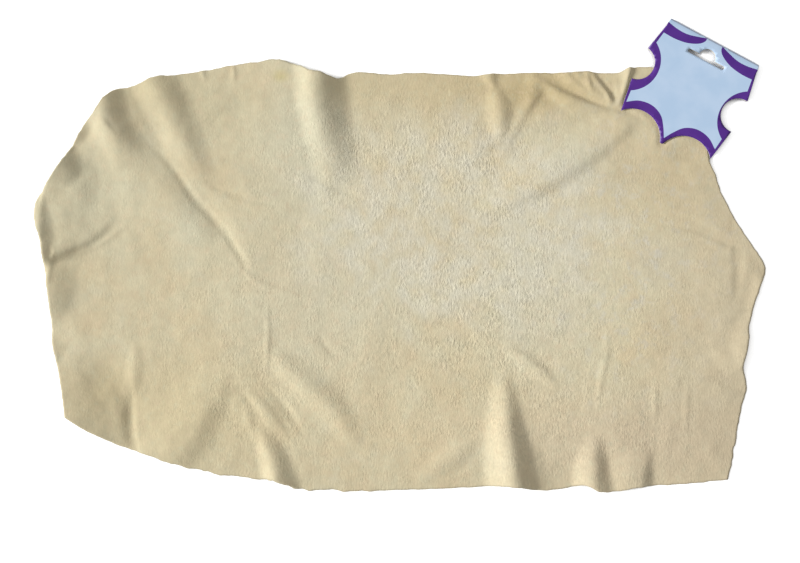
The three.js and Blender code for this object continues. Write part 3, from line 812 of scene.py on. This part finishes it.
def blank_mesh(outline, holes, field):
    """Points and triangles of one half of the blank, and which triangles lie in the pale field."""
    loops = [outline, *holes, field]
    points = np.vstack(loops)
    edges = []
    for loop in loops:
        first = 0 if not edges else edges[-1][0] + 1
        edges += [(first + i, first + (i + 1) % len(loop)) for i in range(len(loop))]
    low, high = outline.min(axis=0), outline.max(axis=0)
    turn = np.linspace(0, turn_length, FOLD_STEPS + 1)[1:]
    across = np.arange(math.ceil(low[0] / CARD_GRID), math.ceil(high[0] / CARD_GRID)) * CARD_GRID
    downs = np.r_[turn, np.arange(turn_length + CARD_GRID, high[1], CARD_GRID)]
    grid = np.array([(x, y) for y in downs for x in across])
    grid = grid[inside(outline, *grid.T)]
    rounds = np.vstack([points, grid])
    convex_hull = 0
    found = delaunay_2d_cdt([Vector(p) for p in rounds], edges, [], convex_hull, MERGE_GAP)
    places = np.array([tuple(p) for p in found[0]])
    triangles = np.array(found[2])
    middle = places[triangles].mean(axis=1)
    kept = inside(outline, *middle.T)
    for hole in holes:
        kept &= ~inside(hole, *middle.T)
    triangles = triangles[kept]
    used, numbers = np.unique(triangles, return_inverse=True)
    return places[used], numbers.reshape(-1, 3), inside(field, *middle[kept].T)


# Finishes of the card's faces, by their place in its list of materials
PALE_PRINT, VIOLET_PRINT, BARE_INSIDE, BARE_EDGE, FOLD_SHADE_PRINT = range(5)


def make_card_half(name, front, holes, materials):
    """One half of the card: a leaf and half of the spine, printed outside, with its cut edge."""
    places, triangles, pale = blank_mesh(blank_outline(), holes, pale_field())
    down, height, out = fold_profile(places[:, 1], front)
    layers = []
    for depth in (0, CARD_THICKNESS):
        plan = card_place(places[:, 0], down - depth * out[:, 0])
        layers.append(np.column_stack([plan, height - depth * out[:, 1]]))
    count = len(places)
    outer = triangles if not front else triangles[:, ::-1]
    sides = np.vstack([outer[:, [0, 1]], outer[:, [1, 2]], outer[:, [2, 0]]])
    pairs = {tuple(pair) for pair in sides.tolist()}
    rim = sorted((a, b) for a, b in pairs if (b, a) not in pairs)
    faces = outer.tolist() + (outer[:, ::-1] + count).tolist()
    faces += [(b, a, a + count, b + count) for a, b in rim]
    # Painted shade: a greyer print along the rounded fold, where it turns away from the light
    worn = places[triangles, 1].max(axis=1) < FOLD_SHADE_STRIP
    printed = np.where(worn, FOLD_SHADE_PRINT, np.where(pale, PALE_PRINT, VIOLET_PRINT)).tolist()
    finish = printed + [BARE_INSIDE] * len(outer) + [BARE_EDGE] * len(rim)
    smooth = [True] * (2 * len(outer)) + [False] * len(rim)
    return add_mesh(name, np.vstack(layers), faces, materials, finish, smooth)


# Materials


def warm_and_cool(shader, base, patches, warm, cool, share):
    """A colour that turns warmer where random patches are high and cooler where they are low."""
    base = shader.mix(shader.ramp(patches, 0.5, 0.75, 0.0, share), base, srgb(*warm))
    return shader.mix(shader.ramp(patches, 0.25, 0.5, share, 0.0), base, srgb(*cool))


def leather_colour(shader, patches):
    """Cream clouds under broad tints, with flecks, pale spots, a worn pale middle and a tan end."""
    clouds = shader.noise(size=60, detail=4, rough=0.55)
    base = shader.mix(shader.ramp(clouds, 0.34, 0.66), srgb(*CREAM), srgb(*LIGHT_CREAM))
    blush = shader.noise(size=21, detail=3, rough=0.6)
    base = warm_and_cool(shader, base, blush, WARM_BLUSH, COOL_BLUSH, BLUSH_SHARE)
    for place, reach, colour, share in TINTS.values():
        base = shader.mix(shader.math("MULTIPLY", shader.blob(place, reach), share), base, srgb(*colour))
    flecks = shader.noise(size=5, detail=3, rough=0.6)
    base = warm_and_cool(shader, base, flecks, WARM_FLECK, COOL_FLECK, FLECK_SHARE)
    spots = shader.ramp(shader.noise(size=11, detail=4, rough=0.65), 0.5, 0.7, 0.0, SPOT_SHARE)
    spots = shader.math("MULTIPLY", spots, shader.blob(SPOTTED_MIDDLE, SPOTTED_REACH))
    base = shader.mix(spots, base, srgb(*PALE_SPOT))
    middle = shader.math("ADD", shader.blob(WORN_MIDDLE, WORN_REACH), patches)
    stains = shader.noise(size=16, detail=4, rough=0.6)
    worn = shader.math("MULTIPLY", shader.ramp(middle, 0.2, 0.75), shader.ramp(stains, 0.2, 0.75))
    base = shader.mix(shader.math("MULTIPLY", worn, WORN_SHARE), base, srgb(*WORN_PALE))
    tan = shader.math("MULTIPLY", shader.blob(TAN_MIDDLE, TAN_REACH), TAN_SHARE)
    return shader.mix(tan, base, srgb(*DEEP_TAN))


def leather_nap(shader, patches, combed):
    """Height of the upright nap above and below its middle: longer in some places, and in tufts."""
    length = shader.math("ADD", shader.math("MULTIPLY", patches, PATCH_SHARE), SHORT_NAP)
    for place, reach, share in LONG_NAPS.values():
        longer = shader.math("MULTIPLY", shader.blob(place, reach), share)
        length = shader.math("ADD", length, longer)
    nap = shader.noise(size=1.5, detail=2, rough=0.6, vector=combed)
    raised = shader.math("MULTIPLY", shader.math("SUBTRACT", nap, 0.5), length)
    tufts = shader.noise(size=13, detail=3, rough=0.6)
    return shader.math("MULTIPLY", raised, shader.ramp(tufts, 0.35, 0.65, 0.6, 1.4))


def leather_tone(shader, raised):
    """How light the leather is: mottled, darker at its cut edge, with painted shade at its rim as the
    light falls off, and painted shade in the pits of its nap and painted light on its tips.
    """
    # Painted shade: the leather darkens towards its rim, as the light falls off away from the middle
    rim = shader.ramp(shader.blob(LIT_MIDDLE, LIT_REACH), 0.0, 0.45, RIM_SHADE, 1.0)
    cut = shader.node("Attribute", attribute_name=CUT_EDGE).outputs["Fac"]
    rim = shader.math("MULTIPLY", rim, shader.ramp(cut, 0.0, 1.0, 1.0, CUT_TONE))
    # Painted shade in the pits of the nap and painted light on its tips, following the nap's height
    pits = shader.math("ADD", shader.math("MULTIPLY", raised, PIT_SHADE), 1.0)
    tone = shader.math("MULTIPLY", rim, pits)
    mottle = shader.noise(size=7, detail=3, rough=0.6)
    return shader.math("MULTIPLY", tone, shader.ramp(mottle, 0.25, 0.75, 0.96, 1.04))


def leather_material():
    """Napped chamois, with its nap combed across the leather."""
    shader = Shader("chamois_nap")
    patches = shader.math("SUBTRACT", shader.noise(size=34, detail=4, rough=0.6), 0.5)
    combed = shader.node("Mapping", {"Vector": shader.place(), "Scale": (1.0, 0.5, 1.0)}).outputs[0]
    raised = leather_nap(shader, patches, combed)
    tone = leather_tone(shader, raised)
    shades = shader.node("CombineColor", {0: tone, 1: tone, 2: tone}).outputs[0]
    pile = shader.noise(size=3.4, detail=2, rough=0.6, vector=combed)
    grain = shader.bump(pile, strength=0.3, distance=0.3)
    shader.fill(shader.surface, {
        "Base Color": shader.mix(1.0, leather_colour(shader, patches), shades, "MULTIPLY"),
        "Normal": shader.bump(raised, strength=1.0, distance=0.52, normal=grain),
        "Roughness": 0.9, "Specular IOR Level": 0.15,
        "Sheen Weight": 0.1, "Sheen Roughness": 0.5, "Sheen Tint": (1.0, 0.97, 0.9, 1.0),
    })
    return shader.material


def print_material(name, colour, deeper):
    """A printed ink on smooth coated card."""
    shader = Shader(name)
    fibre = shader.noise(size=0.7, detail=3, rough=0.6)
    cloud = shader.noise(size=18, detail=2, rough=0.5)
    shade = shader.mix(shader.ramp(cloud, 0.35, 0.65), colour, deeper)
    specks = shader.ramp(fibre, 0.35, 0.65, 0.0, 0.12)
    shader.fill(shader.surface, {
        "Base Color": shader.mix(specks, shade, deeper), "Roughness": 0.42, "Specular IOR Level": 0.4,
        "Normal": shader.bump(fibre, strength=0.15, distance=0.03),
    })
    return shader.material


def board_material(name, colour, deeper):
    """Bare greyboard, as on the inside and the cut edge."""
    shader = Shader(name)
    fibre = shader.noise(size=1.1, detail=4, rough=0.65)
    shader.fill(shader.surface, {
        "Base Color": shader.mix(shader.ramp(fibre, 0.35, 0.65), colour, deeper), "Roughness": 0.85,
        "Specular IOR Level": 0.2, "Normal": shader.bump(fibre, strength=0.3, distance=0.06),
    })
    return shader.material


def wire_material():
    """Drawn galvanised wire."""
    shader = Shader("staple_wire")
    spangle = shader.noise(size=0.5, detail=3, rough=0.6)
    shader.fill(shader.surface, {
        "Base Color": shader.mix(spangle, srgb(176, 180, 184), srgb(205, 207, 209)), "Metallic": 1.0,
        "Roughness": shader.ramp(spangle, 0.3, 0.7, 0.28, 0.45),
        "Normal": shader.bump(spangle, strength=0.2, distance=0.02),
    })
    return shader.material


def floor_material():
    """A white floor that keeps the shadow and shows as white; its glow fades in crannies, which paints
    shade there.
    """
    shader = Shader("floor_white")
    path = shader.node("LightPath").outputs
    seen = shader.math("MAXIMUM", path["Is Camera Ray"], path["Is Glossy Ray"])
    seen = shader.math("MAXIMUM", seen, path["Is Transmission Ray"])
    # Painted shade: the floor's glow fades in crannies by the leather's edges and inside the card's slot
    open_sky = shader.node("AmbientOcclusion", {"Distance": FLOOR_CRANNY * MM}).outputs["AO"]
    glow = shader.math("MULTIPLY", seen, shader.ramp(open_sky, CRANNY_DARK, CRANNY_OPEN, 0.0, FLOOR_GLOW))
    shader.fill(shader.surface, {
        "Base Color": (0.9, 0.9, 0.9, 1.0), "Roughness": 0.9, "Specular IOR Level": 0.0,
        "Emission Color": (1.0, 1.0, 1.0, 1.0), "Emission Strength": glow,
    })
    return shader.material


# Pieces of the object

leather = make_hide(leather_material())
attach(leather, "hide")
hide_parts("chamois_hide")

card_finishes = [
    print_material("print_pale", srgb(186, 207, 231), srgb(177, 201, 227)),
    print_material("print_violet", srgb(84, 40, 137), srgb(75, 32, 127)),
    board_material("card_inside", srgb(206, 203, 194), srgb(194, 190, 180)),
    board_material("card_edge", srgb(232, 230, 235), srgb(215, 212, 220)),
    # A greyer print, for the painted shade along the fold
    print_material("print_fold_shade", srgb(160, 170, 190), srgb(148, 158, 177)),
]
slot_hole = peg_slot()
leg_holes = [leg_hole(place) for place in LEG_PLACES]
card_front = make_card_half("card_front", True, [slot_hole], card_finishes)
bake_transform(card_front)
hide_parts("tag_front_leaf", "tag_spine")

card_back = make_card_half("card_back", False, [slot_hole, *leg_holes], card_finishes)
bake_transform(card_back)
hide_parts("tag_back_leaf")

wire = wire_material()
for staple in ("staple_left", "staple_right"):
    frame["nodes"][staple].data.materials.clear()
    frame["nodes"][staple].data.materials.append(wire)

# Floor, light and camera

half_floor = FLOOR_SIZE / 2
corner_signs = [(-1, -1), (1, -1), (1, 1), (-1, 1)]
floor_corners = [(x * half_floor, y * half_floor, -FLOOR_DROP) for x, y in corner_signs]
floor = add_mesh("floor", floor_corners, [(0, 1, 2, 3)], [floor_material()])

world = bpy.data.worlds.new("studio")
world.use_nodes = True
bpy.context.scene.world = world
sky = world.node_tree.nodes["Background"]
path = world.node_tree.nodes.new("ShaderNodeLightPath").outputs
level = world.node_tree.nodes.new("ShaderNodeMapRange")
level.inputs["To Min"].default_value = SKY_LEVEL
level.inputs["To Max"].default_value = 1.0
world.node_tree.links.new(path["Is Camera Ray"], level.inputs["Value"])
world.node_tree.links.new(level.outputs[0], sky.inputs["Strength"])
sky.inputs["Color"].default_value = (1.0, 1.0, 1.0, 1.0)

lamp = bpy.data.lights.new("window", "SUN")
lamp.energy = SUN_STRENGTH
lamp.angle = math.radians(SUN_SPREAD)
window = bpy.data.objects.new("window", lamp)
bpy.context.scene.collection.objects.link(window)
height = math.tan(math.radians(SUN_HEIGHT)) * math.hypot(*SUN_FROM)
window.rotation_euler = Vector((*SUN_FROM, height)).to_track_quat("Z", "Y").to_euler()

middle = from_photo((PHOTO_WIDTH / 2, PHOTO_HEIGHT / 2))
span = from_photo((PHOTO_WIDTH, 0))[0] - from_photo((0, 0))[0]
view = bpy.data.cameras.new("camera")
view.lens = LENS
view.sensor_width = SENSOR
camera = bpy.data.objects.new("camera", view)
bpy.context.scene.collection.objects.link(camera)
camera.location = (middle[0] * MM, middle[1] * MM, (span * LENS / SENSOR + HIDE_THICKNESS) * MM)
bpy.context.scene.camera = camera
bpy.context.scene.view_settings.view_transform = "Standard"
